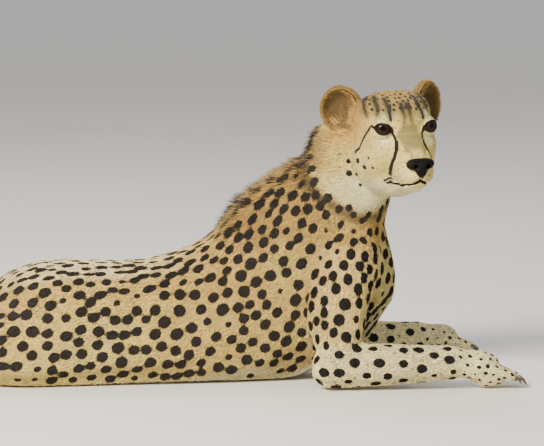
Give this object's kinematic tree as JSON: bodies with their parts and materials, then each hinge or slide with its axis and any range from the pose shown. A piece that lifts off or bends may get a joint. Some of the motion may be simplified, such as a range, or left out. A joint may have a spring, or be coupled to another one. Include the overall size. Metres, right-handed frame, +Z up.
{
  "type": "lying cheetah model",
  "caption": "Life-size still model of a spotted cheetah lying with its chest up, forelegs ahead and head turned.",
  "frame": {"origin": "on the floor, under the middle of the box round the whole animal", "axes": "+X the way the body faces, +Y its left side, +Z up"},
  "size_m": [1.2754, 0.6826, 0.4963],
  "materials": {
    "coat_gold": "short fur",
    "coat_cream": "short fur",
    "coat_white": "short fur",
    "claw": "satin",
    "eye": "gloss",
    "nose": "fine grain"
  },
  "bodies": {
    "root": {"head": "coat_cream", "eye_r": "eye", "eye_l": "eye", "nose": "nose", "ear_r": "coat_gold", "ear_l": "coat_gold", "neck": "coat_gold", "chest": "coat_gold", "loin": "coat_gold", "rump": "coat_gold", "tail_1": "coat_gold", "tail_2": "coat_gold", "tail_3": "coat_gold", "tail_4": "coat_gold", "upper_arm_r": "coat_gold", "upper_arm_l": "coat_gold", "forearm_r": "coat_cream", "forearm_l": "coat_cream", "forepaw_r": "coat_white", "forepaw_l": "coat_white", "thigh_r": "coat_gold", "thigh_l": "coat_gold", "shank_r": "coat_cream", "shank_l": "coat_cream", "hindpaw_r": "coat_white", "hindpaw_l": "coat_white", "claw_fore_r_1": "claw", "claw_fore_r_2": "claw", "claw_fore_r_3": "claw", "claw_fore_r_4": "claw", "claw_fore_l_1": "claw", "claw_fore_l_2": "claw", "claw_fore_l_3": "claw", "claw_fore_l_4": "claw", "claw_hind_r_1": "claw", "claw_hind_r_2": "claw", "claw_hind_r_3": "claw", "claw_hind_r_4": "claw", "claw_hind_l_1": "claw", "claw_hind_l_2": "claw", "claw_hind_l_3": "claw", "claw_hind_l_4": "claw"}
  },
  "joints": []
}
